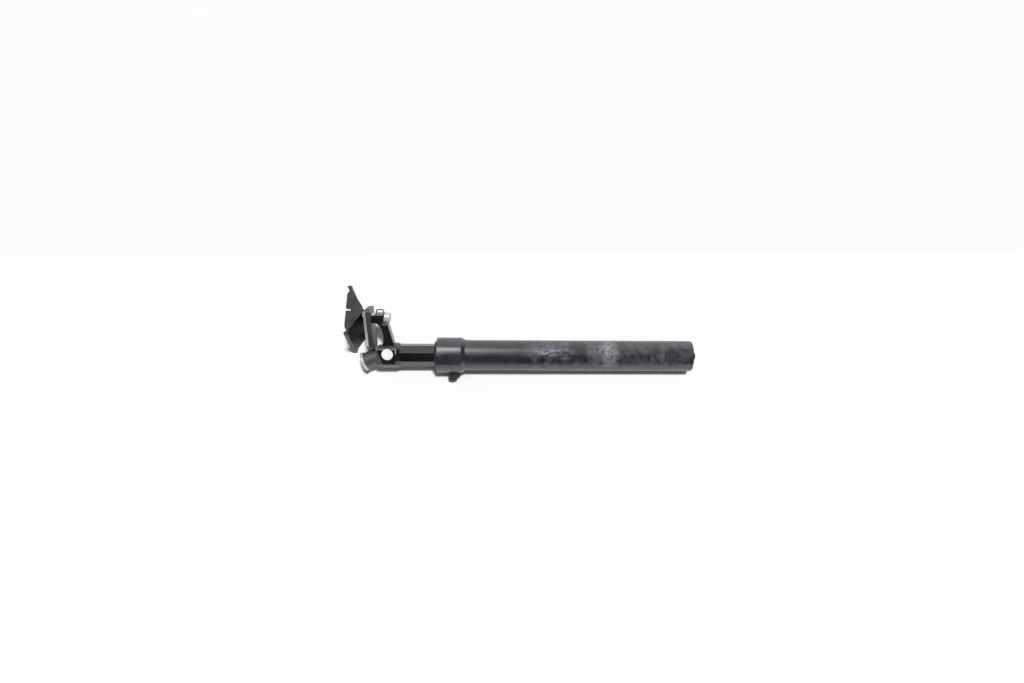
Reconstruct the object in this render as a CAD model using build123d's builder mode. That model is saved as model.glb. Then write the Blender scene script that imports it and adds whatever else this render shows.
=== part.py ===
from build123d import *
from math import atan, cos, radians, sin, tan
import os

# A telescoping bicycle seatpost, lying on a table as it comes to rest.
# Heights h run along the post, up towards the saddle, from the collar's top face.
# The model's origin is on the post's axis where the collar ends, the deepest it goes into a frame.

running_gap = 0.05
seat_gap = 0.3

# Outer tube
tube_outer = 31.6
tube_bore = 27.2
tube_bottom_h = -265.4
tube_top_h = -6.5
neck_diameter = 29.8
tube_end_chamfer = 0.8

# Collar, screwed on the neck of the tube
collar_diameter = 36.8
collar_length = 30.0
collar_body_length = 25.4
collar_skirt_diameter = 32.2
collar_taper_length = 4.2
collar_lip_h = -3.0
collar_lip_thickness = 1.5
collar_lip_clearance = 0.6
collar_edge = 0.9

# Wiper and upper bush
wiper_diameter = 29.5
wiper_stand = 2.1
wiper_slope_width = 1.6
wiper_slope_height = 0.8
bush_flange_diameter = 29.6
bush_length = 30.0

# Capped grease port on the front of the collar
port_h = -16.3
port_pad_diameter = 11.5
port_pad_reach = 19.0
nipple_thread = 5.0
nipple_flange_diameter = 7.6
nipple_flange_thickness = 1.0
nipple_stem_diameter = 5.6
nipple_stem_reach = 25.4
nipple_bore = 1.6
cap_diameter = 9.5
cap_reach = 27.1
cap_edge = 1.2
cap_grooves = 16
cap_groove_radius = 0.45
cap_groove_depth = 0.3
guard_thickness = 2.3
guard_width = 5.0
guard_reach = 23.2
guard_edge = 0.7

# Octagonal shaft
shaft_sides = 8
shaft_flats = 21.8
shaft_bore = 17.6
shaft_exposed = 37.8
shaft_bottom_h = -200.0
shaft_spigot_diameter = 20.6
shaft_spigot_length = 24.0
travel = 33.0

# Gas spring inside the shaft
cylinder_bore = 14.4
cylinder_top_h = 4.0
cylinder_cap_thickness = 4.0
cylinder_bottom_h = -192.0
gland_flange_diameter = 25.0
gland_flange_thickness = 4.0
gland_nose_length = 8.0
seal_width = 3.0
rod_seal_outer = 11.4
rebound_length = 6.0
rebound_outer = 13.0
piston_length = 10.0
piston_groove_diameter = 11.2
rod_diameter = 8.0
rod_tip_diameter = 6.0
rod_tip_extra = 2.0
rod_air_bore = 3.0
rod_shoulder_diameter = 11.0
rod_shoulder_thickness = 3.0
rod_bottom_h = -262.5

# Foot of the outer tube
plug_top_h = -246.0
plug_thickness = 10.0
plug_pin_holes = 2
plug_pin_hole_diameter = 3.2
plug_pin_circle = 20.0
bumper_outer = 22.0
nut_flats = 13.0
nut_thickness = 5.2
valve_diameter = 5.2
valve_length = 5.2
valve_cap_diameter = 7.8
valve_cap_length = 6.9
valve_cap_edge = 0.8

# Head forging
base_diameter = 26.0
base_end_h = 61.7
base_flare = 3.4
base_flats = 21.0
base_flats_start_h = 42.2
cross_bore_h = 50.6
cross_bore_rise = 2.6
barrel_nut_diameter = 12.0
barrel_nut_inset = 0.3
barrel_nut_edge = 0.4
barrel_nut_thread = 6.0
head_spigot_length = 30.0
arm_thickness = 13.0
arm_edge = 1.6
arm_foot_h = 42.8
arm_foot_rise = 6.0
arm_waist_h = 44.6
arm_waist_rise = 15.0
arm_neck_h = 49.8
arm_neck_drop = 0.6
arm_front_h = 63.2
lug_above_bolt = 4.25
lug_chin_drop = 2.8
lug_front_h = 62.8
bolt_head_clearance = 0.5
window_h = 61.8
window_rise = 21.4
window_width = 14.0
window_height = 26.4
window_lean = 9.0
boss_diameter = 17.2
boss_lean = 21.5
boss_start = 8.0
boss_end = 25.4
bolt_hole = 6.4
bolt_tip_room = 5.0
front_washer_diameter = 19.2
front_washer_thickness = 3.0
front_washer_dish = 0.8
front_washer_rim = 2.2
front_washer_edge = 0.7

# Rocker block between the head and the rail cradle
rocker_low_h = 63.6
rocker_low_rise = 8.6
rocker_length = 41.8
rocker_lean = 4.1
rocker_thickness = 8.0
rocker_width = 24.0
rocker_corner = 3.8
rocker_edge = 3.2
keel_channel_width = 8.4
keel_channel_depth = 1.6

# Rear bolt, loose in its lug, with its nut in the cradle
bolt_head_h = 47.6
bolt_head_rise = 39.2
bolt_lean = 7.9
bolt_diameter = 6.0
bolt_head_diameter = 10.5
bolt_head_length = 6.0
bolt_head_edge = 0.6
bolt_socket_flats = 5.0
bolt_socket_depth = 3.4
bolt_nut_diameter = 11.0
bolt_nut_thickness = 3.2
bolt_washer_diameter = 12.5
bolt_washer_thickness = 1.0
bolt_end_inset = 0.4
clip_wire = 1.1
clip_height = 4.1
clip_length = 9.0
clip_inset = 0.9
clip_lean = 0.8
clip_bend = 1.3

# Rail cradle, hanging straight down from the rear bolt
rail_diameter = 7.0
rail_gauge = 44.0
cradle_clearance = 0.8
cradle_depth = 16.6
cradle_keel_width = 7.4
cradle_wing_depth = 4.9
cradle_tip_depth = 4.1
cradle_width = 54.0
cradle_above_bolt = 6.6
cradle_below_bolt = 46.6
cradle_hole = 10.4
cradle_recess = 13.4
cradle_recess_depth = 5.4
cradle_lip_width = 5.4
groove_depth = 2.2

# How the post comes to rest: on the tube's lower edge, the port cap and the end of the cradle
rocker_rise_along = rocker_length * sin(radians(rocker_lean))
rocker_front_h = rocker_low_h + rocker_rise_along + rocker_thickness * cos(radians(rocker_lean))
cradle_outer_h = rocker_front_h + cradle_clearance + cradle_depth
cradle_hinge_h = cradle_outer_h - cradle_recess_depth / 2
cradle_hinge_rise = bolt_head_rise + (cradle_hinge_h - bolt_head_h) * tan(radians(bolt_lean))


def axis_height_at_port(roll):
    level = (cap_reach - cap_edge) * cos(roll) + (cap_diameter / 2 - cap_edge) * sin(roll)
    return level + cap_edge


def pitch_for(roll):
    rise = axis_height_at_port(roll) - tube_outer / 2
    return atan(rise / (port_h - tube_bottom_h))


def cradle_end_height(roll):
    pitch = pitch_for(roll)
    axis_height = axis_height_at_port(roll) + (cradle_outer_h - port_h) * tan(pitch)
    return axis_height + cradle_hinge_rise * cos(roll) - cradle_below_bolt


roll_low = radians(20)
roll_high = radians(85)
roll_tolerance = 1e-7
while roll_high - roll_low > roll_tolerance:
    roll_middle = (roll_low + roll_high) / 2
    if cradle_end_height(roll_middle) > 0:
        roll_low = roll_middle
    else:
        roll_high = roll_middle
roll = (roll_low + roll_high) / 2
pitch = pitch_for(roll)

# The post's own directions: along it, to the bike's rear, and to the table side
along = Vector(-cos(pitch), 0, sin(pitch))
rear_level = Vector(0, sin(roll), cos(roll))
rear = (rear_level - along * rear_level.dot(along)).normalized()
collar_top = along * collar_length
post = Plane(origin=collar_top, x_dir=rear, z_dir=along)
post_axis = Axis(collar_top, along)
side = Plane(origin=collar_top, x_dir=along, z_dir=along.cross(rear))


def place(h, rise):
    """A point of the side view: h along the post, rise towards the rear."""
    return collar_top + along * h + rear * rise


# Sizes that follow
shaft_turn = 180 / shaft_sides
shaft_corner = shaft_flats / cos(radians(shaft_turn))
bush_bore_radius = (shaft_flats / 2 + running_gap) / cos(radians(shaft_turn))
guide_diameter = tube_bore - 2 * running_gap
cylinder_outer = shaft_bore - 2 * running_gap
collar_neck_bore = neck_diameter + 2 * running_gap
collar_lip_bottom_h = collar_lip_h - collar_lip_thickness
bush_bottom_h = tube_top_h - bush_length
neck_bottom_h = -collar_length
gland_nose_h = cylinder_bottom_h + gland_nose_length
gland_bottom_h = shaft_bottom_h - gland_flange_thickness
rebound_bottom_h = gland_nose_h + seat_gap
piston_bottom_h = rebound_bottom_h + rebound_length
piston_top_h = piston_bottom_h + piston_length
bumper_top_h = gland_bottom_h - travel - seat_gap
plug_bottom_h = plug_top_h - plug_thickness
nut_bottom_h = plug_bottom_h - nut_thickness
port_plane = Plane(origin=place(port_h, 0), x_dir=along, z_dir=-rear)

os.makedirs("parts", exist_ok=True)

# Outer tube
with BuildPart() as outer_tube:
    with BuildSketch(side):
        with BuildLine():
            Polyline(
                (tube_bottom_h, tube_bore / 2),
                (tube_top_h, tube_bore / 2),
                (tube_top_h, neck_diameter / 2),
                (neck_bottom_h, neck_diameter / 2),
                (neck_bottom_h, tube_outer / 2),
                (tube_bottom_h + tube_end_chamfer, tube_outer / 2),
                (tube_bottom_h, tube_outer / 2 - tube_end_chamfer / 2),
                close=True,
            )
        make_face()
    revolve(axis=post_axis)
    with BuildSketch(port_plane):
        Circle(nipple_bore / 2)
    extrude(amount=tube_outer, mode=Mode.SUBTRACT)
outer_tube.part.label = "outer_tube"
export_step(outer_tube.part, "parts/outer_tube.step")

# Collar: a turned body with a tapered skirt, a port pad and a guard beside the cap
with BuildPart() as collar:
    with BuildSketch(post):
        Circle(collar_diameter / 2)
    extrude(amount=-collar_body_length)
    with BuildSketch(port_plane):
        Circle(port_pad_diameter / 2)
    extrude(amount=port_pad_reach)
    with BuildSketch(port_plane):
        with Locations((-(cap_diameter + guard_thickness) / 2 - seat_gap, 0)):
            Rectangle(guard_thickness, guard_width)
    extrude(amount=guard_reach)
    fillet(collar.faces().sort_by(Axis(place(0, 0), -rear))[-1].edges(), radius=guard_edge)
    with BuildSketch(side):
        with BuildLine():
            Polyline(
                (-collar_body_length, 0),
                (-collar_body_length, collar_diameter / 2),
                (-collar_body_length - collar_taper_length, collar_skirt_diameter / 2),
                (-collar_length, collar_skirt_diameter / 2),
                (-collar_length, 0),
                close=True,
            )
        make_face()
    revolve(axis=post_axis)
    top_rim = collar.edges().filter_by(GeomType.CIRCLE).sort_by(Axis(place(0, 0), along))[-1]
    fillet(top_rim, radius=collar_edge)
    with BuildSketch(side):
        with BuildLine():
            Polyline(
                (collar_lip_h, 0),
                (collar_lip_h, wiper_diameter / 2 + running_gap),
                (wiper_stand, wiper_diameter / 2 + running_gap),
                (wiper_stand, 0),
                close=True,
            )
        make_face()
        with BuildLine():
            Polyline(
                (neck_bottom_h, 0),
                (neck_bottom_h, collar_neck_bore / 2),
                (collar_lip_bottom_h, collar_neck_bore / 2),
                (collar_lip_bottom_h, shaft_corner / 2 + collar_lip_clearance),
                (wiper_stand, shaft_corner / 2 + collar_lip_clearance),
                (wiper_stand, 0),
                close=True,
            )
        make_face()
    revolve(axis=post_axis, mode=Mode.SUBTRACT)
    with BuildSketch(port_plane):
        Circle(nipple_thread / 2 + running_gap)
    extrude(amount=collar_diameter, mode=Mode.SUBTRACT)
collar.part.label = "collar"
export_step(collar.part, "parts/collar.step")

# Wiper seal in the top of the collar
with BuildPart() as wiper_seal:
    with BuildSketch(post.offset(collar_lip_h)):
        Circle(wiper_diameter / 2)
    extrude(amount=wiper_stand - collar_lip_h)
    wiper_top = wiper_seal.faces().sort_by(Axis(place(0, 0), along))[-1]
    chamfer(wiper_top.edges(), length=wiper_slope_width, length2=wiper_slope_height)
    with BuildSketch(post.offset(collar_lip_h)):
        RegularPolygon(bush_bore_radius, shaft_sides, rotation=shaft_turn)
    extrude(amount=wiper_stand - collar_lip_h, mode=Mode.SUBTRACT)
wiper_seal.part.label = "wiper_seal"
export_step(wiper_seal.part, "parts/wiper_seal.step")

# Upper bush: a flanged sleeve that keys the octagon
with BuildPart() as upper_bush:
    with BuildSketch(post.offset(collar_lip_bottom_h)):
        Circle(bush_flange_diameter / 2)
    extrude(amount=tube_top_h - collar_lip_bottom_h)
    with BuildSketch(post.offset(tube_top_h)):
        Circle(guide_diameter / 2)
    extrude(amount=-bush_length)
    with BuildSketch(post.offset(collar_lip_bottom_h)):
        RegularPolygon(bush_bore_radius, shaft_sides, rotation=shaft_turn)
    extrude(amount=bush_bottom_h - collar_lip_bottom_h, mode=Mode.SUBTRACT)
    with BuildSketch(port_plane):
        Circle(nipple_bore / 2)
    extrude(amount=tube_outer, mode=Mode.SUBTRACT)
upper_bush.part.label = "upper_bush"
export_step(upper_bush.part, "parts/upper_bush.step")

# Grease nipple and its screw cap
with BuildPart() as port_nipple:
    with BuildSketch(port_plane.offset(neck_diameter / 2 + seat_gap)):
        Circle(nipple_thread / 2)
    extrude(amount=port_pad_reach - neck_diameter / 2 - seat_gap)
    with BuildSketch(port_plane.offset(port_pad_reach)):
        RegularPolygon(nipple_flange_diameter / 2, 6)
    extrude(amount=nipple_flange_thickness)
    with BuildSketch(port_plane.offset(port_pad_reach)):
        Circle(nipple_stem_diameter / 2)
    extrude(amount=nipple_stem_reach - port_pad_reach)
    with BuildSketch(port_plane):
        Circle(nipple_bore / 2)
    extrude(amount=nipple_stem_reach, mode=Mode.SUBTRACT)
port_nipple.part.label = "port_nipple"
export_step(port_nipple.part, "parts/port_nipple.step")

cap_foot_reach = port_pad_reach + nipple_flange_thickness + seat_gap
with BuildPart() as port_cap:
    with BuildSketch(port_plane.offset(cap_foot_reach)):
        Circle(cap_diameter / 2)
    extrude(amount=cap_reach - cap_foot_reach)
    fillet(port_cap.faces().sort_by(Axis(place(0, 0), -rear))[-1].edges(), radius=cap_edge)
    with BuildSketch(port_plane.offset(cap_foot_reach)):
        with PolarLocations(cap_diameter / 2 + cap_groove_radius - cap_groove_depth, cap_grooves):
            Circle(cap_groove_radius)
    extrude(amount=cap_reach - cap_foot_reach - 2 * cap_edge, mode=Mode.SUBTRACT)
    with BuildSketch(port_plane.offset(cap_foot_reach)):
        Circle(nipple_stem_diameter / 2 + running_gap)
    extrude(amount=nipple_stem_reach + seat_gap - cap_foot_reach, mode=Mode.SUBTRACT)
port_cap.part.label = "port_cap"
export_step(port_cap.part, "parts/port_cap.step")

# Octagonal shaft with a round spigot for the lower guide
with BuildPart() as shaft:
    with BuildSketch(post.offset(shaft_bottom_h)):
        Circle(shaft_spigot_diameter / 2)
    extrude(amount=shaft_spigot_length)
    with BuildSketch(post.offset(shaft_bottom_h + shaft_spigot_length)):
        RegularPolygon(shaft_corner / 2, shaft_sides, rotation=shaft_turn)
    extrude(amount=shaft_exposed - shaft_bottom_h - shaft_spigot_length)
    with BuildSketch(post.offset(shaft_bottom_h)):
        Circle(shaft_bore / 2)
    extrude(amount=shaft_exposed - shaft_bottom_h, mode=Mode.SUBTRACT)
shaft.part.label = "shaft"
export_step(shaft.part, "parts/shaft.step")

# Lower guide, held between the shaft's shoulder and the gland's flange
with BuildPart() as lower_guide:
    with BuildSketch(post.offset(shaft_bottom_h)):
        Circle(guide_diameter / 2)
        Circle(shaft_spigot_diameter / 2 + running_gap, mode=Mode.SUBTRACT)
    extrude(amount=shaft_spigot_length)
lower_guide.part.label = "lower_guide"
export_step(lower_guide.part, "parts/lower_guide.step")

# Gas cylinder inside the shaft
with BuildPart() as gas_cylinder:
    with BuildSketch(post.offset(cylinder_bottom_h)):
        Circle(cylinder_outer / 2)
    extrude(amount=cylinder_top_h - cylinder_bottom_h)
    with BuildSketch(post.offset(cylinder_bottom_h)):
        Circle(cylinder_bore / 2)
    extrude(amount=cylinder_top_h - cylinder_cap_thickness - cylinder_bottom_h, mode=Mode.SUBTRACT)
gas_cylinder.part.label = "gas_cylinder"
export_step(gas_cylinder.part, "parts/gas_cylinder.step")

# Gland that closes the cylinder round the rod
with BuildPart() as cylinder_gland:
    with BuildSketch(side):
        with BuildLine():
            Polyline(
                (gland_bottom_h, rod_diameter / 2 + running_gap),
                (gland_bottom_h, gland_flange_diameter / 2),
                (shaft_bottom_h, gland_flange_diameter / 2),
                (shaft_bottom_h, cylinder_outer / 2),
                (cylinder_bottom_h, cylinder_outer / 2),
                (cylinder_bottom_h, cylinder_bore / 2 - running_gap),
                (gland_nose_h, cylinder_bore / 2 - running_gap),
                (gland_nose_h, rod_seal_outer / 2 + running_gap),
                (gland_nose_h - seal_width, rod_seal_outer / 2 + running_gap),
                (gland_nose_h - seal_width, rod_diameter / 2 + running_gap),
                close=True,
            )
        make_face()
    revolve(axis=post_axis)
cylinder_gland.part.label = "cylinder_gland"
export_step(cylinder_gland.part, "parts/cylinder_gland.step")

with BuildPart() as gland_seal:
    with BuildSketch(post.offset(gland_nose_h - seal_width)):
        Circle(rod_seal_outer / 2)
        Circle(rod_diameter / 2 + running_gap, mode=Mode.SUBTRACT)
    extrude(amount=seal_width)
gland_seal.part.label = "gland_seal"
export_step(gland_seal.part, "parts/gland_seal.step")

# Rod, piston and buffers, fixed to the outer tube's foot
with BuildPart() as cartridge_rod:
    with BuildSketch(side):
        with BuildLine():
            Polyline(
                (rod_bottom_h, rod_air_bore / 2),
                (rod_bottom_h, rod_diameter / 2),
                (plug_top_h, rod_diameter / 2),
                (plug_top_h, rod_shoulder_diameter / 2),
                (plug_top_h + rod_shoulder_thickness, rod_shoulder_diameter / 2),
                (plug_top_h + rod_shoulder_thickness, rod_diameter / 2),
                (piston_bottom_h, rod_diameter / 2),
                (piston_bottom_h, rod_tip_diameter / 2),
                (piston_top_h + rod_tip_extra, rod_tip_diameter / 2),
                (piston_top_h + rod_tip_extra, rod_air_bore / 2),
                close=True,
            )
        make_face()
    revolve(axis=post_axis)
cartridge_rod.part.label = "cartridge_rod"
export_step(cartridge_rod.part, "parts/cartridge_rod.step")

piston_middle_h = (piston_bottom_h + piston_top_h) / 2
piston_radius = cylinder_bore / 2 - running_gap
with BuildPart() as piston:
    with BuildSketch(side):
        with BuildLine():
            Polyline(
                (piston_bottom_h, rod_tip_diameter / 2 + running_gap),
                (piston_bottom_h, piston_radius),
                (piston_middle_h - seal_width / 2, piston_radius),
                (piston_middle_h - seal_width / 2, piston_groove_diameter / 2),
                (piston_middle_h + seal_width / 2, piston_groove_diameter / 2),
                (piston_middle_h + seal_width / 2, piston_radius),
                (piston_top_h, piston_radius),
                (piston_top_h, rod_tip_diameter / 2 + running_gap),
                close=True,
            )
        make_face()
    revolve(axis=post_axis)
piston.part.label = "piston"
export_step(piston.part, "parts/piston.step")

with BuildPart() as piston_seal:
    with BuildSketch(post.offset(piston_middle_h - seal_width / 2 + running_gap)):
        Circle(cylinder_bore / 2 - running_gap / 2)
        Circle(piston_groove_diameter / 2 + running_gap, mode=Mode.SUBTRACT)
    extrude(amount=seal_width - 2 * running_gap)
piston_seal.part.label = "piston_seal"
export_step(piston_seal.part, "parts/piston_seal.step")

with BuildPart() as rebound_bumper:
    with BuildSketch(post.offset(rebound_bottom_h)):
        Circle(rebound_outer / 2)
        Circle(rod_diameter / 2 + running_gap, mode=Mode.SUBTRACT)
    extrude(amount=rebound_length)
rebound_bumper.part.label = "rebound_bumper"
export_step(rebound_bumper.part, "parts/rebound_bumper.step")

with BuildPart() as bottom_bumper:
    with BuildSketch(post.offset(plug_top_h)):
        Circle(bumper_outer / 2)
        Circle(rod_shoulder_diameter / 2 + running_gap, mode=Mode.SUBTRACT)
    extrude(amount=bumper_top_h - plug_top_h)
bottom_bumper.part.label = "bottom_bumper"
export_step(bottom_bumper.part, "parts/bottom_bumper.step")

with BuildPart() as foot_plug:
    with BuildSketch(post.offset(plug_bottom_h)):
        Circle(guide_diameter / 2)
        Circle(rod_diameter / 2 + running_gap, mode=Mode.SUBTRACT)
        with PolarLocations(plug_pin_circle / 2, plug_pin_holes):
            Circle(plug_pin_hole_diameter / 2, mode=Mode.SUBTRACT)
    extrude(amount=plug_thickness)
foot_plug.part.label = "foot_plug"
export_step(foot_plug.part, "parts/foot_plug.step")

with BuildPart() as rod_nut:
    with BuildSketch(post.offset(nut_bottom_h)):
        RegularPolygon(nut_flats / 2, 6, major_radius=False)
        Circle(rod_diameter / 2 + running_gap, mode=Mode.SUBTRACT)
    extrude(amount=nut_thickness)
rod_nut.part.label = "rod_nut"
export_step(rod_nut.part, "parts/rod_nut.step")

with BuildPart() as fill_valve:
    with BuildSketch(post.offset(rod_bottom_h)):
        Circle(valve_diameter / 2)
    extrude(amount=-valve_length)
    with BuildSketch(post.offset(rod_bottom_h)):
        Circle(rod_air_bore / 2 - running_gap)
    extrude(amount=plug_thickness)
fill_valve.part.label = "fill_valve"
export_step(fill_valve.part, "parts/fill_valve.step")

with BuildPart() as valve_cap:
    with BuildSketch(post.offset(rod_bottom_h - seat_gap)):
        Circle(valve_cap_diameter / 2)
    extrude(amount=-valve_cap_length)
    fillet(valve_cap.faces().sort_by(Axis(place(0, 0), along))[0].edges(), radius=valve_cap_edge)
    with BuildSketch(post.offset(rod_bottom_h)):
        Circle(valve_diameter / 2 + running_gap)
    extrude(amount=-valve_length - seat_gap, mode=Mode.SUBTRACT)
valve_cap.part.label = "valve_cap"
export_step(valve_cap.part, "parts/valve_cap.step")

# Head forging: a rear arm round an open window, a base drum, a leaning front boss and a spigot
boss_direction = along * cos(radians(boss_lean)) - rear * sin(radians(boss_lean))
boss = Plane(origin=place(cross_bore_h, cross_bore_rise), x_dir=along.cross(rear), z_dir=boss_direction)
bolt_direction = along * cos(radians(bolt_lean)) + rear * sin(radians(bolt_lean))
bolt = Plane(origin=place(bolt_head_h, bolt_head_rise), x_dir=along.cross(rear), z_dir=bolt_direction)
bolt_seat_h = bolt_head_h + bolt_head_length * cos(radians(bolt_lean))
bolt_seat_rise = bolt_head_rise + bolt_head_length * sin(radians(bolt_lean))
lug_top_rise = bolt_seat_rise + lug_above_bolt
lug_chin_rise = lug_top_rise - lug_chin_drop
lug_bottom_rise = bolt_seat_rise - bolt_head_diameter / 2 - bolt_head_clearance
washer_lift = bolt_washer_diameter / 2 * tan(radians(bolt_lean)) + seat_gap
nut_seat = (cradle_outer_h - cradle_recess_depth - bolt_head_h) / cos(radians(bolt_lean)) + washer_lift
bolt_length = nut_seat + bolt_washer_thickness + bolt_nut_thickness - bolt_head_length - bolt_end_inset
rocker_slope = tan(radians(rocker_lean))


def rocker_back_h(rise):
    """Where the rocker block's back face stands at this rise."""
    return rocker_low_h + (rise - rocker_low_rise) * rocker_slope


def lug_back_h(rise):
    """Where the rear lug's back face, square to its bolt, stands at this rise."""
    return bolt_seat_h + seat_gap - (rise - bolt_seat_rise) * tan(radians(bolt_lean))


def is_open_arm_edge(edge):
    """True for the arm's edges that neither the base nor the rocker block covers."""
    offset = edge.center() - collar_top
    return offset.dot(along) < lug_front_h and offset.dot(rear) > arm_foot_rise


with BuildPart() as head:
    with BuildSketch(side):
        with BuildLine():
            Polyline(
                (arm_foot_h, 0),
                (arm_foot_h, arm_foot_rise),
                (arm_waist_h, arm_waist_rise),
                (arm_neck_h, lug_bottom_rise - arm_neck_drop),
                (lug_back_h(lug_bottom_rise), lug_bottom_rise),
                (lug_back_h(lug_top_rise), lug_top_rise),
                (lug_front_h, lug_top_rise),
                (rocker_back_h(lug_chin_rise), lug_chin_rise),
                (rocker_back_h(rocker_low_rise), rocker_low_rise),
                (arm_front_h, 0),
                close=True,
            )
        make_face()
        with Locations((window_h, window_rise)):
            Ellipse(window_width / 2, window_height / 2, rotation=-window_lean, mode=Mode.SUBTRACT)
    extrude(amount=arm_thickness / 2, both=True)
    open_edges = head.faces().filter_by(Axis(collar_top, side.z_dir)).edges().filter_by(is_open_arm_edge)
    fillet(open_edges, radius=arm_edge)
    with BuildSketch(side):
        with BuildLine():
            Polyline(
                (shaft_exposed, 0),
                (shaft_exposed, shaft_corner / 2),
                (shaft_exposed + base_flare, base_diameter / 2),
                (base_end_h, base_diameter / 2),
                (base_end_h, 0),
                close=True,
            )
        make_face()
    revolve(axis=post_axis)
    with BuildSketch(boss.offset(boss_start)):
        Circle(boss_diameter / 2)
    extrude(amount=boss_end - boss_start)
    flats_length = boss_end + cross_bore_h - base_flats_start_h
    for side_sign in (-1, 1):
        flats_plane = side.offset(side_sign * base_flats / 2)
        with BuildSketch(flats_plane):
            with Locations((base_flats_start_h, base_diameter / 2)):
                Rectangle(flats_length, base_diameter / 2 + boss_end, align=(Align.MIN, Align.MAX))
        extrude(amount=side_sign * base_diameter / 2, mode=Mode.SUBTRACT)
    with BuildSketch(side):
        with Locations((window_h, window_rise)):
            Ellipse(window_width / 2, window_height / 2, rotation=-window_lean)
        with Locations((cross_bore_h, cross_bore_rise)):
            Circle(barrel_nut_diameter / 2 + running_gap)
    extrude(amount=base_diameter, both=True, mode=Mode.SUBTRACT)
    with BuildSketch(boss.offset(-barrel_nut_diameter / 2 - bolt_tip_room)):
        Circle(bolt_hole / 2)
    extrude(amount=boss_end + barrel_nut_diameter / 2 + bolt_tip_room, mode=Mode.SUBTRACT)
    with BuildSketch(bolt):
        Circle(bolt_hole / 2)
    extrude(amount=bolt_length, mode=Mode.SUBTRACT)
    with BuildSketch(post.offset(shaft_exposed)):
        Circle(shaft_bore / 2 - running_gap)
    extrude(amount=-head_spigot_length)
head.part.label = "head"
export_step(head.part, "parts/head.step")

with BuildPart() as front_washer:
    with BuildSketch(boss.offset(boss_end)):
        Circle(front_washer_diameter / 2)
    extrude(amount=front_washer_thickness)
    fillet(front_washer.edges(), radius=front_washer_edge)
    with BuildSketch(boss.offset(boss_end + front_washer_thickness - front_washer_dish)):
        Circle(front_washer_diameter / 2 - front_washer_rim)
    extrude(amount=front_washer_dish, mode=Mode.SUBTRACT)
    with BuildSketch(boss.offset(boss_end)):
        Circle(bolt_hole / 2)
    extrude(amount=front_washer_thickness, mode=Mode.SUBTRACT)
front_washer.part.label = "front_washer"
export_step(front_washer.part, "parts/front_washer.step")

# Barrel nut of the absent front bolt, still in the base's cross bore
with BuildPart() as barrel_nut:
    with BuildSketch(Plane(origin=place(cross_bore_h, cross_bore_rise), x_dir=along, z_dir=side.z_dir)):
        Circle(barrel_nut_diameter / 2)
    extrude(amount=base_flats / 2 - barrel_nut_inset, both=True)
    chamfer(barrel_nut.edges(), length=barrel_nut_edge)
    with BuildSketch(boss):
        Circle(barrel_nut_thread / 2)
    extrude(amount=barrel_nut_diameter, both=True, mode=Mode.SUBTRACT)
barrel_nut.part.label = "barrel_nut"
export_step(barrel_nut.part, "parts/barrel_nut.step")

# Rocker block
rocker_direction = rear * cos(radians(rocker_lean)) + along * sin(radians(rocker_lean))
rocker_normal = along * cos(radians(rocker_lean)) - rear * sin(radians(rocker_lean))
rocker = Plane(
    origin=place(rocker_low_h, rocker_low_rise) + rocker_direction * (rocker_length / 2),
    x_dir=rocker_direction,
    z_dir=rocker_normal,
)
with BuildPart() as rocker_block:
    with BuildSketch(rocker):
        RectangleRounded(rocker_length, rocker_width, rocker_corner)
    extrude(amount=rocker_thickness)
    chamfer(rocker_block.faces().sort_by(Axis(place(0, 0), rocker_normal))[-1].edges(), length=rocker_edge)
    with BuildSketch(rocker.offset(rocker_thickness - keel_channel_depth)):
        Rectangle(rocker_length, keel_channel_width)
    extrude(amount=keel_channel_depth, mode=Mode.SUBTRACT)
    with BuildSketch(bolt):
        Circle(bolt_hole / 2)
    extrude(amount=bolt_length, mode=Mode.SUBTRACT)
rocker_block.part.label = "rocker_block"
export_step(rocker_block.part, "parts/rocker_block.step")

# Rear bolt, nut and washer
with BuildPart() as rear_bolt:
    with BuildSketch(bolt):
        Circle(bolt_head_diameter / 2)
    extrude(amount=bolt_head_length)
    chamfer(rear_bolt.faces().sort_by(Axis(place(0, 0), bolt_direction))[0].edges(), length=bolt_head_edge)
    with BuildSketch(bolt):
        RegularPolygon(bolt_socket_flats / 2, 6, major_radius=False)
    extrude(amount=bolt_socket_depth, mode=Mode.SUBTRACT)
    with BuildSketch(bolt.offset(bolt_head_length)):
        Circle(bolt_diameter / 2)
    extrude(amount=bolt_length)
rear_bolt.part.label = "rear_bolt"
export_step(rear_bolt.part, "parts/rear_bolt.step")

with BuildPart() as bolt_washer:
    with BuildSketch(bolt.offset(nut_seat)):
        Circle(bolt_washer_diameter / 2)
        Circle(bolt_diameter / 2 + running_gap, mode=Mode.SUBTRACT)
    extrude(amount=bolt_washer_thickness)
bolt_washer.part.label = "bolt_washer"
export_step(bolt_washer.part, "parts/bolt_washer.step")

with BuildPart() as bolt_nut:
    with BuildSketch(bolt.offset(nut_seat + bolt_washer_thickness)):
        Circle(bolt_nut_diameter / 2)
        Circle(bolt_diameter / 2 + running_gap, mode=Mode.SUBTRACT)
    extrude(amount=bolt_nut_thickness)
bolt_nut.part.label = "bolt_nut"
export_step(bolt_nut.part, "parts/bolt_nut.step")

# Wire clip over the rear lug
clip_start_h = lug_back_h(lug_top_rise) + clip_inset
clip_end_h = clip_start_h + clip_length - clip_wire
clip_top_rise = lug_top_rise + clip_height - clip_wire / 2
with BuildPart() as wire_clip:
    with BuildLine(side) as clip_path:
        FilletPolyline(
            (clip_start_h, lug_top_rise + seat_gap),
            (clip_start_h + clip_lean, clip_top_rise),
            (clip_end_h - clip_lean, clip_top_rise),
            (clip_end_h, lug_top_rise + seat_gap),
            radius=clip_bend,
        )
    with BuildSketch(Plane(origin=clip_path.line @ 0, z_dir=clip_path.line % 0)):
        Circle(clip_wire / 2)
    sweep()
wire_clip.part.label = "wire_clip"
export_step(wire_clip.part, "parts/wire_clip.step")

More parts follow.
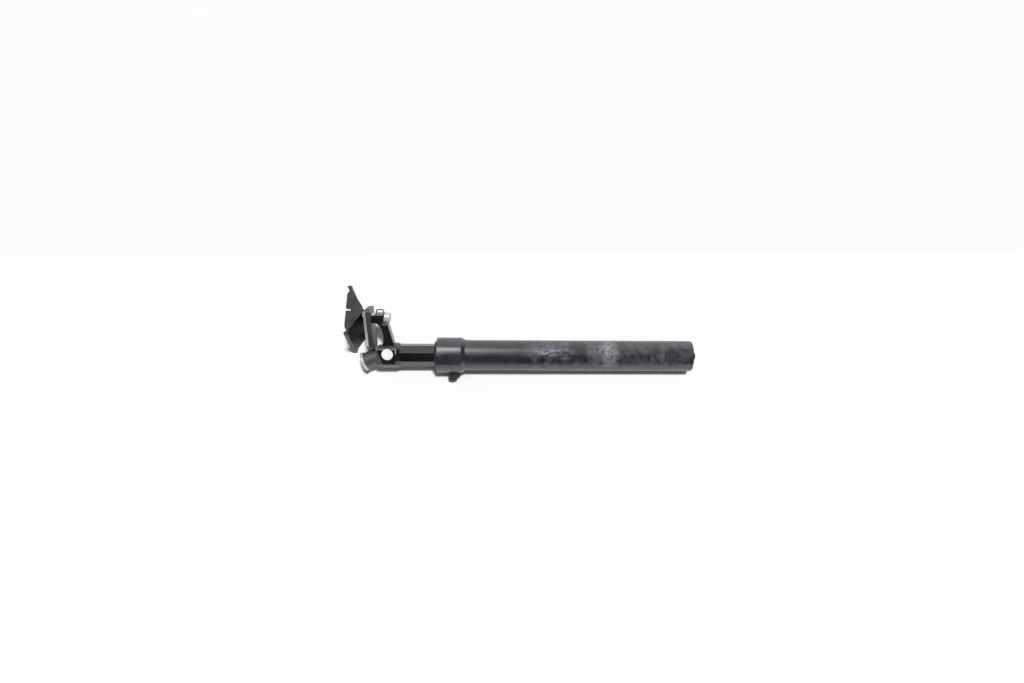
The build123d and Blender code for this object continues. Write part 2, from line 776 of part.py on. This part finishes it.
# Rail cradle: two rail grooves on wings, tapering to a keel, hung straight down from the bolt
straight_down = Vector(0, 0, -1)
hang = (straight_down - along * straight_down.dot(along)).normalized()
cradle_top = place(cradle_outer_h, cradle_hinge_rise) - hang * cradle_above_bolt
cradle = Plane(origin=cradle_top, x_dir=along, z_dir=hang)
cradle_bore = Plane(origin=place(cradle_outer_h, cradle_hinge_rise), x_dir=rear, z_dir=along)
half_width = cradle_width / 2
groove_centre = rail_gauge / 2
groove_radius = rail_diameter / 2 + running_gap
wing_root = half_width - cradle_lip_width
with BuildPart() as rail_cradle:
    with BuildSketch(cradle):
        with BuildLine():
            Polyline(
                (0, -half_width),
                (0, half_width),
                (-cradle_tip_depth, half_width),
                (-cradle_wing_depth, wing_root),
                (-cradle_depth, cradle_keel_width / 2),
                (-cradle_depth, -cradle_keel_width / 2),
                (-cradle_wing_depth, -wing_root),
                (-cradle_tip_depth, -half_width),
                close=True,
            )
        make_face()
        with Locations(
            (groove_radius - groove_depth, groove_centre), (groove_radius - groove_depth, -groove_centre)
        ):
            Circle(groove_radius, mode=Mode.SUBTRACT)
    extrude(amount=cradle_above_bolt + cradle_below_bolt)
    with BuildSketch(cradle_bore):
        Circle(cradle_hole / 2)
    extrude(amount=-cradle_depth, mode=Mode.SUBTRACT)
    with BuildSketch(cradle_bore):
        Circle(cradle_recess / 2)
    extrude(amount=-cradle_recess_depth, mode=Mode.SUBTRACT)
rail_cradle.part.label = "rail_cradle"
export_step(rail_cradle.part, "parts/rail_cradle.step")
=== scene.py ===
import math

import bpy
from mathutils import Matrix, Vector


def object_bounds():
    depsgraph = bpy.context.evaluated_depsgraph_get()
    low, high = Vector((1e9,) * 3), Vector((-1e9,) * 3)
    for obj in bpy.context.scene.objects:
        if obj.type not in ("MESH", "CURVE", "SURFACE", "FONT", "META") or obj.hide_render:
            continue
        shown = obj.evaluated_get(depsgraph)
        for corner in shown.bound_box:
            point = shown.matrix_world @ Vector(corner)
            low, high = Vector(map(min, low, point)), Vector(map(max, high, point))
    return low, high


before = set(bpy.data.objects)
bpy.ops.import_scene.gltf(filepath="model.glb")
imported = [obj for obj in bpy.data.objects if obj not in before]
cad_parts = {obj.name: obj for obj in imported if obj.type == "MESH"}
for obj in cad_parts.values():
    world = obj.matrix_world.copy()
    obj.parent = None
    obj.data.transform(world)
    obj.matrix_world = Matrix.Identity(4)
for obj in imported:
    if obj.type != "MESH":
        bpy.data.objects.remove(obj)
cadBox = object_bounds()
print("frame loaded:", len(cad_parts), "nodes")

# How the post lies: its axis towards the saddle, its rear side and the flank turned up
postAxis = Vector((-0.9999122, 0.0, 0.0132503))
postRear = Vector((0.0076772, 0.8150369, 0.5793582))
postSide = postRear.cross(postAxis)
collarTopHeight = 0.030    # of the collar's top face over the frame's origin, along the post
tubeRadius = 0.0158
bumpDistance = 0.0002


# Node helpers
def newMaterial(name):
    material = bpy.data.materials.new(name)
    material.use_nodes = True
    material.node_tree.nodes.clear()
    return material, material.node_tree


def addNode(tree, kind, values=None, **settings):
    node = tree.nodes.new(kind)
    for key, value in settings.items():
        setattr(node, key, value)
    for key, value in (values or {}).items():
        node.inputs[key].default_value = value
    return node


def addAlong(tree, vector, axis):
    # how far a vector reaches along an axis
    dot = addNode(tree, "ShaderNodeVectorMath", operation="DOT_PRODUCT")
    dot.inputs[1].default_value = axis
    tree.links.new(vector, dot.inputs[0])
    return dot.outputs["Value"]


def postCoordinates(tree):
    # object coordinates turned so that X runs up the post, Y to its rear and Z aside
    coordinates = addNode(tree, "ShaderNodeTexCoord")
    joined = addNode(tree, "ShaderNodeCombineXYZ")
    for index, axis in enumerate((postAxis, postRear, postSide)):
        tree.links.new(addAlong(tree, coordinates.outputs["Object"], axis), joined.inputs[index])
    return joined.outputs[0]


def addNoise(tree, vector, scale, detail=4.0, roughness=0.6, stretch=(1, 1, 1)):
    mapping = addNode(tree, "ShaderNodeMapping", {"Scale": stretch})
    noise = addNode(tree, "ShaderNodeTexNoise", {"Scale": scale, "Detail": detail, "Roughness": roughness})
    tree.links.new(vector, mapping.inputs["Vector"])
    tree.links.new(mapping.outputs[0], noise.inputs["Vector"])
    return noise.outputs["Fac"]


def addRange(tree, value, low, high, toLow=0.0, toHigh=1.0):
    # spreads low..high of the input smoothly over toLow..toHigh
    spread = addNode(tree, "ShaderNodeMapRange", {
        "From Min": low, "From Max": high, "To Min": toLow, "To Max": toHigh})
    spread.interpolation_type = "SMOOTHSTEP"
    tree.links.new(value, spread.inputs["Value"])
    return spread.outputs["Result"]


def addMath(tree, operation, first, second=0.0):
    node = addNode(tree, "ShaderNodeMath", operation=operation)
    for index, value in enumerate((first, second)):
        if isinstance(value, (int, float)):
            node.inputs[index].default_value = value
        else:
            tree.links.new(value, node.inputs[index])
    return node.outputs[0]


def mixColours(tree, factor, first, second):
    mix = addNode(tree, "ShaderNodeMix", data_type="RGBA")
    tree.links.new(factor, mix.inputs["Factor"])
    for socket, value in ((mix.inputs[6], first), (mix.inputs[7], second)):
        if isinstance(value, tuple):
            socket.default_value = (*value, 1.0)
        else:
            tree.links.new(value, socket)
    return mix.outputs[2]


def addMottle(tree, cloud, first, second, low=0.35, high=0.7):
    # the second colour in patches over the first
    return mixColours(tree, addRange(tree, cloud, low, high), first, second)


def addSatin(tree, cloud, finish):
    # a roughness that wanders with the clouding
    return addRange(tree, cloud, 0.3, 0.7, *finish["roughness"])


def splitVector(tree, vector):
    split = addNode(tree, "ShaderNodeSeparateXYZ")
    tree.links.new(vector, split.inputs[0])
    return split.outputs


def addOutput(tree, shader):
    output = addNode(tree, "ShaderNodeOutputMaterial")
    tree.links.new(shader.outputs[0], output.inputs["Surface"])


def addSurface(tree, finish, colour, roughness, relief):
    # the shader of a piece, with its bump taken from a noise
    shader = addNode(tree, "ShaderNodeBsdfPrincipled", {
        "Metallic": finish["metallic"], "Specular IOR Level": finish["specular"]})
    bump = addNode(tree, "ShaderNodeBump", {"Strength": finish["bump"], "Distance": bumpDistance})
    tree.links.new(relief, bump.inputs["Height"])
    tree.links.new(colour, shader.inputs["Base Color"])
    tree.links.new(roughness, shader.inputs["Roughness"])
    tree.links.new(bump.outputs[0], shader.inputs["Normal"])
    addOutput(tree, shader)


# Plain metals, plastics and rubbers, with the pieces that wear them
plainFinishes = {
    "glossBlack": {
        "colour": (0.006, 0.006, 0.007), "mottle": (0.012, 0.012, 0.013), "scale": 90,
        "roughness": 0.13, "metallic": 0.0, "specular": 1.0, "bump": 0.03,
        "pieces": ("shaft",)},
    "nutAlloy": {
        "colour": (0.9, 0.9, 0.9), "mottle": (0.95, 0.95, 0.94), "scale": 300,
        "roughness": 0.5, "metallic": 0.0, "specular": 0.5, "bump": 0.06,
        "pieces": ("barrel_nut",)},
    "turnedAlloy": {
        "colour": (0.5, 0.5, 0.51), "mottle": (0.6, 0.6, 0.61), "scale": 200,
        "roughness": 0.3, "metallic": 1.0, "specular": 0.5, "bump": 0.05,
        "pieces": ("foot_plug", "piston", "gas_cylinder", "cylinder_gland")},
    "boltSteel": {
        "colour": (0.6, 0.58, 0.55), "mottle": (0.74, 0.72, 0.69), "scale": 260,
        "roughness": 0.45, "metallic": 0.35, "specular": 0.6, "bump": 0.08,
        "pieces": ("rod_nut", "front_washer", "rear_bolt", "bolt_washer", "bolt_nut")},
    "polishedRod": {
        "colour": (0.7, 0.7, 0.71), "mottle": (0.76, 0.76, 0.77), "scale": 200,
        "roughness": 0.08, "metallic": 1.0, "specular": 0.5, "bump": 0.01,
        "pieces": ("cartridge_rod",)},
    "darkWire": {
        "colour": (0.02, 0.02, 0.02), "mottle": (0.06, 0.055, 0.05), "scale": 500,
        "roughness": 0.4, "metallic": 0.6, "specular": 0.5, "bump": 0.05,
        "pieces": ("wire_clip",)},
    "turnedBrass": {
        "colour": (0.45, 0.31, 0.11), "mottle": (0.56, 0.41, 0.17), "scale": 220,
        "roughness": 0.3, "metallic": 1.0, "specular": 0.5, "bump": 0.04,
        "pieces": ("fill_valve",)},
    "darkSteel": {
        "colour": (0.02, 0.02, 0.02), "mottle": (0.045, 0.043, 0.04), "scale": 350,
        "roughness": 0.42, "metallic": 0.3, "specular": 0.5, "bump": 0.06,
        "pieces": ("port_nipple",)},
    "sealRubber": {
        "colour": (0.014, 0.014, 0.014), "mottle": (0.03, 0.03, 0.03), "scale": 300,
        "roughness": 0.6, "metallic": 0.0, "specular": 0.4, "bump": 0.15,
        "pieces": ("wiper_seal", "piston_seal", "rebound_bumper", "bottom_bumper", "gland_seal")},
    "capPlastic": {
        "colour": (0.024, 0.024, 0.026), "mottle": (0.05, 0.05, 0.053), "scale": 350,
        "roughness": 0.42, "metallic": 0.0, "specular": 0.6, "bump": 0.12,
        "pieces": ("port_cap", "valve_cap")},
    "bushPlastic": {
        "colour": (0.09, 0.09, 0.092), "mottle": (0.13, 0.13, 0.132), "scale": 200,
        "roughness": 0.5, "metallic": 0.0, "specular": 0.5, "bump": 0.05,
        "pieces": ("upper_bush", "lower_guide")},
}
plainGrain = 12    # times as fine as the mottling
plainSpread = {"smoothest": 0.85, "roughest": 1.2}


def plainMaterial(name, finish):
    material, tree = newMaterial(name)
    place = postCoordinates(tree)
    cloud = addNoise(tree, place, finish["scale"])
    grain = addNoise(tree, place, finish["scale"] * plainGrain, detail=2.0)
    smoothest, roughest = [finish["roughness"] * plainSpread[end] for end in ("smoothest", "roughest")]
    roughness = addRange(tree, cloud, 0.3, 0.75, smoothest, roughest)
    addSurface(tree, finish, addMottle(tree, cloud, finish["colour"], finish["mottle"]), roughness, grain)
    return material


# The tube: satin black, rubbed grey further down, with its own scuffs and rub marks
tubeFinish = {
    "black": (0.0158, 0.015, 0.0195),
    "cloudy": (0.033, 0.031, 0.039),
    "wearAndHighlight": (0.070, 0.067, 0.080),
    "ringed": (0.125, 0.12, 0.14),
    "cloudScale": 120,
    "ringScale": 420.0,
    "ringStretch": (1, 0.03, 0.03),
    "ringStrength": 0.6,
    "rubbedHeights": (-0.078, -0.098),    # over the collar's top, where the rubbing sets in
    "ringedHeights": (-0.195, -0.225),    # and where fine rings do, near the tube's end
    "roughness": (0.3, 0.38),
    "markRoughness": 0.15,    # more where a rub mark lies
    "metallic": 0.0,
    "specular": 1.0,
    "bump": 0.06,
}

# Rub marks: metres over the collar's top, degrees round from the rear, half length and half width
rubMarks = (
    {"height": -0.114, "turn": 48, "long": 0.022, "wide": 0.010,
     "strength": 0.70, "colour": (0.13, 0.14, 0.165), "texture": "patch"},
    {"height": -0.111, "turn": 66, "long": 0.015, "wide": 0.0045,
     "strength": 0.95, "colour": (0.30, 0.34, 0.42), "texture": "streaks"},
    {"height": -0.131, "turn": 60, "long": 0.010, "wide": 0.012,
     "strength": 0.60, "colour": (0.20, 0.21, 0.23), "texture": "streaks"},
    {"height": -0.163, "turn": 50, "long": 0.009, "wide": 0.016,
     "strength": 0.55, "colour": (0.16, 0.16, 0.17), "texture": "patch"},
    {"height": -0.178, "turn": 58, "long": 0.010, "wide": 0.018,
     "strength": 0.90, "colour": (0.31, 0.31, 0.33), "texture": "patch"},
    {"height": -0.212, "turn": 75, "long": 0.040, "wide": 0.026,
     "strength": 0.45, "colour": (0.085, 0.085, 0.09), "texture": "patch"},
    {"height": -0.126, "turn": 205, "long": 0.018, "wide": 0.012,
     "strength": 0.60, "colour": (0.20, 0.21, 0.23), "texture": "streaks"},
    {"height": -0.185, "turn": 290, "long": 0.014, "wide": 0.014,
     "strength": 0.60, "colour": (0.17, 0.17, 0.18), "texture": "patch"},
)
markTextures = {
    "patch": {"scale": 230, "roughness": 0.72, "stretch": (1, 1, 1), "clear": 0.34, "full": 0.6},
    "streaks": {"scale": 260, "roughness": 0.7, "stretch": (0.7, 1.5, 1.5), "clear": 0.5, "full": 0.6},
}
markEdge = {"outer": 1.25, "inner": 0.45}    # in half lengths, from the mark's middle


def rubbedArea(tree, place, mark):
    # one soft-edged oval on the tube, broken up by a noise
    turn = math.radians(mark["turn"])
    middle = (mark["height"] + collarTopHeight, tubeRadius * math.cos(turn), tubeRadius * math.sin(turn))
    scale = (1 / mark["long"], 1 / mark["wide"], 1 / mark["wide"])
    shifted = addNode(tree, "ShaderNodeMapping", {
        "Location": [-step * size for step, size in zip(middle, scale)], "Scale": scale})
    tree.links.new(place, shifted.inputs["Vector"])
    distance = addNode(tree, "ShaderNodeVectorMath", operation="LENGTH")
    tree.links.new(shifted.outputs[0], distance.inputs[0])
    oval = addRange(tree, distance.outputs["Value"], markEdge["outer"], markEdge["inner"])
    texture = markTextures[mark["texture"]]
    noise = addNoise(
        tree, place, texture["scale"], detail=8.0, roughness=texture["roughness"], stretch=texture["stretch"])
    area = addMath(tree, "MULTIPLY", oval, addRange(tree, noise, texture["clear"], texture["full"]))
    return addMath(tree, "MULTIPLY", area, mark["strength"])


def zoneBelow(tree, height, startAndEnd):
    # sets in downwards between two heights over the collar's top
    start, end = [collarTopHeight + edge for edge in startAndEnd]
    return addRange(tree, height, start, end)


def tubeMaterial():
    material, tree = newMaterial("tubeFinish")
    place = postCoordinates(tree)
    height = splitVector(tree, place)[0]
    cloud = addNoise(tree, place, tubeFinish["cloudScale"], detail=9.0, roughness=0.72)
    rings = addNoise(tree, place, tubeFinish["ringScale"], detail=3.0, stretch=tubeFinish["ringStretch"])
    base = addMottle(tree, cloud, tubeFinish["black"], tubeFinish["cloudy"], low=0.4)
    rubbedZone = zoneBelow(tree, height, tubeFinish["rubbedHeights"])
    wearAndHighlight = addMath(tree, "MULTIPLY", rubbedZone, addRange(tree, cloud, 0.47, 0.62))
    base = mixColours(tree, wearAndHighlight, base, tubeFinish["wearAndHighlight"])
    ringedZone = zoneBelow(tree, height, tubeFinish["ringedHeights"])
    ringed = addMath(tree, "MULTIPLY", ringedZone, addRange(tree, rings, 0.5, 0.72))
    ringed = addMath(tree, "MULTIPLY", ringed, tubeFinish["ringStrength"])
    base = mixColours(tree, ringed, base, tubeFinish["ringed"])
    allMarks = 0.0
    for mark in rubMarks:
        area = rubbedArea(tree, place, mark)
        base = mixColours(tree, area, base, mark["colour"])
        allMarks = addMath(tree, "MAXIMUM", area, allMarks)
    rougher = addMath(tree, "MULTIPLY", allMarks, tubeFinish["markRoughness"])
    roughness = addMath(tree, "ADD", addSatin(tree, cloud, tubeFinish), rougher)
    addSurface(tree, tubeFinish, base, roughness, rings)
    return material


# The collar: satin black with fine turning lines
collarFinish = {
    "black": (0.023, 0.0215, 0.027),
    "turned": (0.040, 0.0375, 0.047),
    "cloudScale": 70,
    "lineScale": 900.0,
    "lineStretch": (1, 0.02, 0.02),
    "roughness": (0.23, 0.30),
    "metallic": 0.0,
    "specular": 1.0,
    "bump": 0.05,
}


def collarMaterial():
    material, tree = newMaterial("collarFinish")
    place = postCoordinates(tree)
    cloud = addNoise(tree, place, collarFinish["cloudScale"], detail=6.0)
    lines = addNoise(tree, place, collarFinish["lineScale"], detail=2.0, stretch=collarFinish["lineStretch"])
    colour = addMottle(tree, cloud, collarFinish["black"], collarFinish["turned"])
    addSurface(tree, collarFinish, colour, addSatin(tree, cloud, collarFinish), lines)
    return material


# The head: gloss black, its front boss left as cast, grey and dull
headFinish = {
    "gloss": (0.007, 0.007, 0.008),
    "glossMottle": (0.013, 0.013, 0.014),
    "cast": (0.05, 0.05, 0.053),
    "castMottle": (0.075, 0.075, 0.078),
    "cloudScale": 130,
    "grainScale": 1500,
    "boltHeight": 0.0506,     # where the boss's axis crosses the bore, up the post and to its rear
    "boltRise": 0.0026,
    "bossLean": 21.5,         # degrees forward of the post's axis
    "castFrom": 0.0083,       # along the boss, from which it is dull
    "castEdge": 0.0003,
    "roughness": (0.24, 0.5),     # gloss and cast
    "metallic": 0.0,
    "specular": 1.0,
    "bump": 0.04,
}


def headMaterial():
    material, tree = newMaterial("headFinish")
    place = postCoordinates(tree)
    lean = math.radians(headFinish["bossLean"])
    bossAxis = Vector((math.cos(lean), -math.sin(lean), 0.0))
    boltMiddle = Vector((collarTopHeight + headFinish["boltHeight"], headFinish["boltRise"], 0.0))
    castFrom = boltMiddle.dot(bossAxis) + headFinish["castFrom"]
    castEdge = headFinish["castEdge"]
    isCast = addRange(tree, addAlong(tree, place, bossAxis), castFrom - castEdge, castFrom + castEdge)
    cloud = addNoise(tree, place, headFinish["cloudScale"], detail=6.0)
    grain = addNoise(tree, place, headFinish["grainScale"], detail=2.0)
    gloss = addMottle(tree, cloud, headFinish["gloss"], headFinish["glossMottle"])
    cast = addMottle(tree, cloud, headFinish["cast"], headFinish["castMottle"], high=0.65)
    roughness = addRange(tree, isCast, 0.0, 1.0, *headFinish["roughness"])
    addSurface(tree, headFinish, mixColours(tree, isCast, gloss, cast), roughness, grain)
    return material


# The rocker block: dark grey, with a painted highlight in light grey on the bevel along its saddle side
rockerFinish = {
    "grey": (0.03, 0.03, 0.033),
    "mottle": (0.055, 0.055, 0.058),
    # the bevel's colour is a painted highlight
    "bevelHighlight": (0.6, 0.59, 0.61),
    "cloudScale": 150,
    "streakScale": 260,
    "streakStretch": (1, 0.12, 1),
    "bevelFacing": (0.9, 0.96),    # how squarely a face looks up the bevel's way
    "roughness": (0.34, 0.44),
    "metallic": 0.1,
    "specular": 0.7,
    "bump": 0.08,
}


def rockerMaterial():
    material, tree = newMaterial("rockerFinish")
    place = postCoordinates(tree)
    coordinates = addNode(tree, "ShaderNodeTexCoord")
    bevelWay = (postAxis + postSide).normalized()
    facing = addAlong(tree, coordinates.outputs["Normal"], bevelWay)
    isBevel = addRange(tree, facing, *rockerFinish["bevelFacing"])
    cloud = addNoise(tree, place, rockerFinish["cloudScale"], detail=6.0)
    streaks = addNoise(
        tree, place, rockerFinish["streakScale"], detail=3.0, stretch=rockerFinish["streakStretch"])
    grey = addMottle(tree, cloud, rockerFinish["grey"], rockerFinish["mottle"])
    # painted highlight: light grey, streaked, on the faces that look up the bevel's way
    wearAndHighlight = addMath(tree, "MULTIPLY", isBevel, addRange(tree, streaks, 0.3, 0.6, toLow=0.7))
    colour = mixColours(tree, wearAndHighlight, grey, rockerFinish["bevelHighlight"])
    addSurface(tree, rockerFinish, colour, addSatin(tree, cloud, rockerFinish), streaks)
    return material


# The rail cradle: black extruded sides, a painted reflection in grey on the faces that look to the front or
# back, and bare grey sawn ends
cradleFinish = {
    "side": (0.004, 0.004, 0.0045),
    "sideMottle": (0.010, 0.010, 0.011),
    # the grey of a painted reflection on the faces that look to the front or back
    "tipReflection": (0.10, 0.098, 0.104),
    "end": (0.034, 0.034, 0.038),
    "endMottle": (0.062, 0.061, 0.066),
    "cloudScale": 170,
    "sawScale": 600,
    "sawStretch": (0.06, 1, 1),
    "endFacing": (0.85, 0.95),    # how squarely a face looks up or down
    "tipFacing": (0.93, 0.98),    # and how squarely to the front or the back
    "roughness": (0.42, 0.6),     # sides and ends
    "metallic": 0.0,
    "specular": 0.2,
    "bump": 0.12,
}


def cradleMaterial():
    material, tree = newMaterial("cradleFinish")
    place = postCoordinates(tree)
    coordinates = addNode(tree, "ShaderNodeTexCoord")
    facing = splitVector(tree, coordinates.outputs["Normal"])
    isEnd = addRange(tree, addMath(tree, "ABSOLUTE", facing[2]), *cradleFinish["endFacing"])
    isTip = addRange(tree, addMath(tree, "ABSOLUTE", facing[1]), *cradleFinish["tipFacing"])
    cloud = addNoise(tree, place, cradleFinish["cloudScale"], detail=7.0, roughness=0.65)
    saw = addNoise(tree, place, cradleFinish["sawScale"], detail=3.0, stretch=cradleFinish["sawStretch"])
    sides = addMottle(tree, cloud, cradleFinish["side"], cradleFinish["sideMottle"], low=0.4)
    # painted reflection: grey, mottled, on the faces that look to the front or back
    tipReflectionMask = addMath(tree, "MULTIPLY", isTip, addRange(tree, cloud, 0.3, 0.6, toLow=0.6))
    sides = mixColours(tree, tipReflectionMask, sides, cradleFinish["tipReflection"])
    ends = addMottle(tree, cloud, cradleFinish["end"], cradleFinish["endMottle"], high=0.68)
    roughness = addRange(tree, isEnd, 0.0, 1.0, *cradleFinish["roughness"])
    addSurface(tree, cradleFinish, mixColours(tree, isEnd, sides, ends), roughness, saw)
    return material


materialOf = {}
for name, finish in plainFinishes.items():
    material = plainMaterial(name, finish)
    for nodeName in finish["pieces"]:
        materialOf[nodeName] = material
materialOf["outer_tube"] = tubeMaterial()
materialOf["collar"] = collarMaterial()
materialOf["head"] = headMaterial()
materialOf["rocker_block"] = rockerMaterial()
materialOf["rail_cradle"] = cradleMaterial()
for nodeName, material in materialOf.items():
    piece = bpy.data.objects[nodeName]
    piece.data.materials.clear()
    piece.data.materials.append(material)
print("finishes on", len(materialOf), "nodes")


# Table and wall, white all over and keeping the shadow
room = {
    "reach": 3.0,
    "wallHeight": 4.2,
    "tableShade": (0.92, 0.92, 0.92),
    "backShade": (0.86, 0.86, 0.86),
    "foldAt": 0.13,           # metres behind the origin
    "foldTurn": 0.0078,       # metres further back for each metre to the right
    "foldEdge": 0.002,
    "wallShade": (0.9, 0.9, 0.9),
    "wallTint": (0.98, 0.95, 1.0),
}


def tableMaterial():
    # paper that turns a touch greyer behind a faint fold
    material, tree = newMaterial("tablePaper")
    coordinates = addNode(tree, "ShaderNodeTexCoord")
    x, y = splitVector(tree, coordinates.outputs["Object"])[:2]
    behind = addMath(tree, "SUBTRACT", y, addMath(tree, "MULTIPLY", x, room["foldTurn"]))
    fold = addRange(tree, behind, room["foldAt"] - room["foldEdge"], room["foldAt"] + room["foldEdge"])
    diffuse = addNode(tree, "ShaderNodeBsdfDiffuse")
    shade = mixColours(tree, fold, room["tableShade"], room["backShade"])
    tree.links.new(shade, diffuse.inputs["Color"])
    addOutput(tree, diffuse)
    return material


def wallMaterial():
    # plain white to the camera and in the object's reflections
    material, tree = newMaterial("wallWhite")
    path = addNode(tree, "ShaderNodeLightPath")
    seen = addMath(tree, "MAXIMUM", path.outputs["Is Camera Ray"], path.outputs["Is Glossy Ray"])
    diffuse = addNode(tree, "ShaderNodeBsdfDiffuse", {"Color": (*room["wallShade"], 1.0)})
    glow = addNode(tree, "ShaderNodeEmission", {"Color": (*room["wallTint"], 1.0), "Strength": 1.0})
    mix = addNode(tree, "ShaderNodeMixShader")
    tree.links.new(seen, mix.inputs[0])
    tree.links.new(diffuse.outputs[0], mix.inputs[1])
    tree.links.new(glow.outputs[0], mix.inputs[2])
    addOutput(tree, mix)
    return material


def addPlane(name, nearEdge, farEdge, material):
    # each edge runs from left to right
    mesh = bpy.data.meshes.new(name)
    mesh.from_pydata([*nearEdge, *reversed(farEdge)], [], [(0, 1, 2, 3)])
    plane = bpy.data.objects.new(name, mesh)
    bpy.context.scene.collection.objects.link(plane)
    plane.data.materials.append(material)


tableTop = cadBox[0].z    # the post's lowest points rest on it
nearEdge, foot, wallTop = [
    [(side * room["reach"], depth * room["reach"], height) for side in (-1, 1)]
    for depth, height in ((-1, tableTop), (1, tableTop), (1, room["wallHeight"]))]
addPlane("table", nearEdge, foot, tableMaterial())
addPlane("wall", foot, wallTop, wallMaterial())

# A lamp straight overhead gives the shadow, and a long softbox behind it the broad highlight
overhead = {"from": (0.17, -0.06, 1.0), "strength": 2.95, "spread": 7.0}
softbox = {"from": (-0.24, 0.11, 0.95), "distance": 1.6, "length": 1.3, "width": 0.55, "power": 15.5}


def addLamp(name, kind, direction, distance, power):
    light = bpy.data.lights.new(name, kind)
    light.energy = power
    lamp = bpy.data.objects.new(name, light)
    bpy.context.scene.collection.objects.link(lamp)
    lamp.location = Vector(direction).normalized() * distance
    lamp.rotation_euler = Vector(direction).to_track_quat("Z", "Y").to_euler()
    return lamp


sun = addLamp("overhead", "SUN", overhead["from"], 1.0, overhead["strength"])
sun.data.angle = math.radians(overhead["spread"])
sun.visible_glossy = False
box = addLamp("softbox", "AREA", softbox["from"], softbox["distance"], softbox["power"])
box.data.shape = "RECTANGLE"
box.data.size = softbox["length"]
box.data.size_y = softbox["width"]
box.visible_diffuse = False    # seen in reflections alone, so it throws no second shadow

# A soft white light from all round, dimmer in the object's reflections
roomLight = {"soft": 0.17, "reflected": 0.03}
world = bpy.data.worlds.new("room")
bpy.context.scene.world = world
world.use_nodes = True
path = addNode(world.node_tree, "ShaderNodeLightPath")
level = addRange(
    world.node_tree, path.outputs["Is Glossy Ray"], 0.0, 1.0, roomLight["soft"], roomLight["reflected"])
level = addMath(world.node_tree, "MAXIMUM", level, path.outputs["Is Camera Ray"])
background = world.node_tree.nodes["Background"]
background.inputs["Color"].default_value = (1.0, 1.0, 1.0, 1.0)
world.node_tree.links.new(level, background.inputs["Strength"])

# Camera, held over the table as in the photograph
view = {
    "elevation": 68.0,
    "distance": 0.7587,
    "lens": 25.3125,
    "sensor": 36.0,
    "aim": (0.0482, 0.0153, 0.0),
}
elevation = math.radians(view["elevation"])
camera = bpy.data.cameras.new("camera")
camera.sensor_width = view["sensor"]
camera.lens = view["lens"]
cameraHolder = bpy.data.objects.new("camera", camera)
bpy.context.scene.collection.objects.link(cameraHolder)
towardsCamera = Vector((0, -math.cos(elevation), math.sin(elevation)))
cameraHolder.location = Vector(view["aim"]) + towardsCamera * view["distance"]
cameraHolder.rotation_euler = (math.pi / 2 - elevation, 0, 0)
bpy.context.scene.camera = cameraHolder
bpy.context.scene.view_settings.view_transform = "Standard"
print("camera and lamps set")
